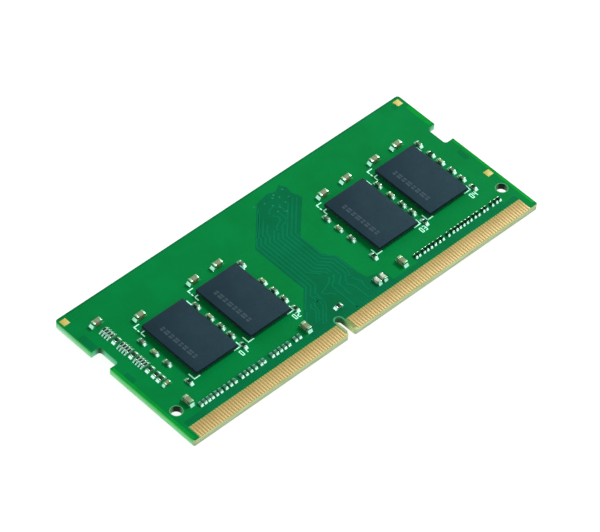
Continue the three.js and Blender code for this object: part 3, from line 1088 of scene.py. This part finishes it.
def termination_arrays():
    """Four resistors in one block: white ceramic, black glaze, four tinned terminals a side."""
    half_x, half_y = 0.5, 1.03
    count, pitch = 4, 0.54
    for node in numbered("termination_array_"):
        low, high = span(node)
        centre = (low + high) / 2
        height = high.z - low.z - 0.03
        piece = Piece(f"{node}_chip", ALUMINA, TIN, SOLDER, GLAZE)
        place = FRONT @ at(centre.x, centre.y)
        piece.add(block(-half_x, half_x, -half_y, half_y, 0.02, height, 0.03), place)
        for i in range(count):
            y = (i - (count - 1) / 2) * pitch
            glaze_top = block(-0.3, 0.3, y - 0.17, y + 0.17, height - 0.01, height + 0.02, 0.02)
            piece.add(glaze_top, place, 3)
            y0, y1 = y - 0.15, y + 0.15
            for side in (-1, 1):
                near, far = sorted((side * 0.31, side * (half_x + 0.02)))
                terminal = block(near, far, y0, y1, 0.01, height + SWELL, 0.03)
                piece.add(terminal, place, 1)
                fillet = []
                for reach, z in ((0.46, 0), (0.43, 0.04), (0.2, 0.17), (0.02, 0.34)):
                    x0, x1 = sorted((side * 0.42, side * (half_x + reach)))
                    fillet.append((x0, x1, y0, y1, 0.05, z))
                piece.add(loft(fillet), place, 2)
        piece.finish("resistor", node)


def settings_memory():
    """The small memory on the back: a moulding, and the CAD's lead frame in tin."""
    low, high = span("settings_memory_package")
    place, base, top = standing("settings_memory_package")
    piece = Piece("settings_memory_moulding", MOULDING)
    piece.add(block(low.x, high.x, low.y, high.y, base, top, 0.05), place)
    piece.finish("moulding", "settings_memory_package")
    finish_node("settings_memory_lead_frame", TIN)


# -------- white print

# Stroke widths of the corner marks and of the numbers, and a digit's own width and height.
PRINT_WIDTH = 0.18
DIGIT_STROKE = 0.14
DIGIT_WIDTH = 0.36
DIGIT_HEIGHT = 0.9
# Where the two digits of a number start, from the package's middle.
DIGIT_X = (3.7, 4.36)
DIGIT_Y = -7.35
# The bars of a seven-bar digit, each from one (u, v) corner to another, and the bars of 0 to 9.
SEGMENTS = {
    "a": ((0, 2), (1, 2)), "b": ((1, 2), (1, 1)), "c": ((1, 1), (1, 0)), "d": ((1, 0), (0, 0)),
    "e": ((0, 0), (0, 1)), "f": ((0, 1), (0, 2)), "g": ((0, 1), (1, 1)),
}
DIGITS = ["abcdef", "bc", "abged", "abgcd", "fgbc", "afgcd", "afgedc", "abc", "abcdefg", "abcdfg"]


def digit_strokes(digit, x, y):
    """The bars of one plain digit, read from the -Y side."""
    for name in DIGITS[digit]:
        yield [(x + u * DIGIT_WIDTH, y + v * DIGIT_HEIGHT / 2) for u, v in SEGMENTS[name]]


def package_print():
    """Corner marks and the pin-1 flag round a package centred at the origin."""
    yield [(-4.55, -4.75), (-4.55, -6), (-3.45, -6)]
    yield [(4.65, -4.8), (4.65, -5.83), (3.35, -5.83)]
    yield [(4.65, 4.6), (4.65, 5.7)]
    yield [(-3.55, 6.92), (-4.52, 6.92), (-4.52, 6.4)]
    yield [(-4.52, 6.2), (-4.52, 5.75)]
    yield [(-4.52, 5.46), (-3.65, 5.46)]
    yield [(-4.52, 5.36), (-4.52, 4.6)]


def package_number(number):
    """The two digits of a package's place number, beside its lower right corner."""
    for digit, x in zip(divmod(number, 10), DIGIT_X):
        yield from digit_strokes(digit, x, DIGIT_Y)


def white_print():
    """The print round every package. The back's is mirrored in X, to read from its own side."""
    number = 1
    for face, place in FACES.items():
        piece = Piece(f"{face}_white_print", PRINT)
        across = 1 if face == "front" else -1
        for node in mould_caps(face):
            centre = middle(node)
            lines = [(path, PRINT_WIDTH) for path in package_print()]
            lines += [(path, DIGIT_STROKE) for path in package_number(number)]
            for path, width in lines:
                spots = [(centre.x + across * x, centre.y + y) for x, y in path]
                piece.add(stroke(spots, width, PRINT_LEVEL), place)
            number += 1
        piece.finish("solder_mask")


# -------- camera and studio


def camera():
    """A long lens from the front left, 48 degrees above the board, rolled a little."""
    target = Vector((-0.7, -0.6, FRONT_LEVEL))
    azimuth, elevation, distance, roll = -136.71, 47.88, 576.1, 4.18
    sensor_width, focal_length = 36, 235.694
    across = math.cos(math.radians(elevation))
    direction = Vector((
        across * math.cos(math.radians(azimuth)),
        across * math.sin(math.radians(azimuth)),
        math.sin(math.radians(elevation)),
    ))
    data = bpy.data.cameras.new("camera")
    data.sensor_width = sensor_width
    data.lens = focal_length
    data.clip_start = 0.01
    eye = put("camera", data)
    eye.location = (target + direction * distance) * MM
    turn = (-direction).to_track_quat("-Z", "Y") @ Quaternion((0, 0, 1), math.radians(roll))
    eye.rotation_mode = "QUATERNION"
    eye.rotation_quaternion = turn
    bpy.context.scene.camera = eye


def key_light():
    """One round lamp over the right end, looking at the part. Metres and watts."""
    data = bpy.data.lights.new("key", "AREA")
    data.shape = "DISK"
    data.size = 0.3
    data.energy = 7.0
    lamp = put("key", data)
    lamp.location = (0.65, 0.05, 0.62)
    lamp.rotation_euler = (-lamp.location).to_track_quat("-Z", "Y").to_euler()


def floor():
    """A wide sheet, in metres, that glows nearly white so that no shadow shows on it."""
    half_side = 4.0
    glow = 0.92
    points = rounded_rectangle(-half_side, half_side, -half_side, half_side, 0.5, 4)
    mesh = bpy.data.meshes.new("floor")
    mesh.from_pydata([(x, y, -0.02 * MM) for x, y in points], [], [list(range(len(points)))])
    look = Look("floor", 0.9, specular=0.0)
    drift = look.noise(0.02)
    look.colour(look.ramp(drift, (0.3, neutral(0.2)), (0.7, neutral(0.22))))
    look.shader.inputs["Emission Color"].default_value = neutral(1)
    look.shader.inputs["Emission Strength"].default_value = glow
    mesh.materials.append(look.material)
    ground = put("floor", mesh)
    ground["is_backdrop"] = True


def sky():
    """A white studio whose walls are bright and whose ceiling is dim."""
    world = bpy.data.worlds.new("studio")
    bpy.context.scene.world = world
    world.use_nodes = True
    tree = world.node_tree
    place = tree.nodes.new("ShaderNodeTexCoord")
    axes = tree.nodes.new("ShaderNodeSeparateXYZ")
    ramp = tree.nodes.new("ShaderNodeValToRGB")
    walls, ceiling = ramp.color_ramp.elements
    walls.position = 0.5
    walls.color = neutral(1)
    ceiling.position = 0.72
    ceiling.color = neutral(0.3)
    tree.links.new(place.outputs["Generated"], axes.inputs["Vector"])
    tree.links.new(axes.outputs["Z"], ramp.inputs["Fac"])
    tree.links.new(ramp.outputs["Color"], tree.nodes["Background"].inputs["Color"])
    tree.nodes["Background"].inputs["Strength"].default_value = 1.0


def studio():
    """Walls, floor and lamp, and plain display colours."""
    sky()
    floor()
    key_light()
    scene = bpy.context.scene
    scene.view_settings.view_transform = "Standard"
    scene.view_settings.look = "None"


camera()
board()
contact_rows()
window_floor()
rims()
tracks()
packages()
laser_marks()
bulk_capacitors()
termination_arrays()
for face_name, face_place in FACES.items():
    small_chips(face_name, face_place)
    series_resistors(face_name, face_place)
loose_chips()
settings_memory()
white_print()
studio()


def corners(bounds):
    return [list(corner) for corner in bounds]


{"cad": corners(cad_bounds), "visual": corners(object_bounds())}
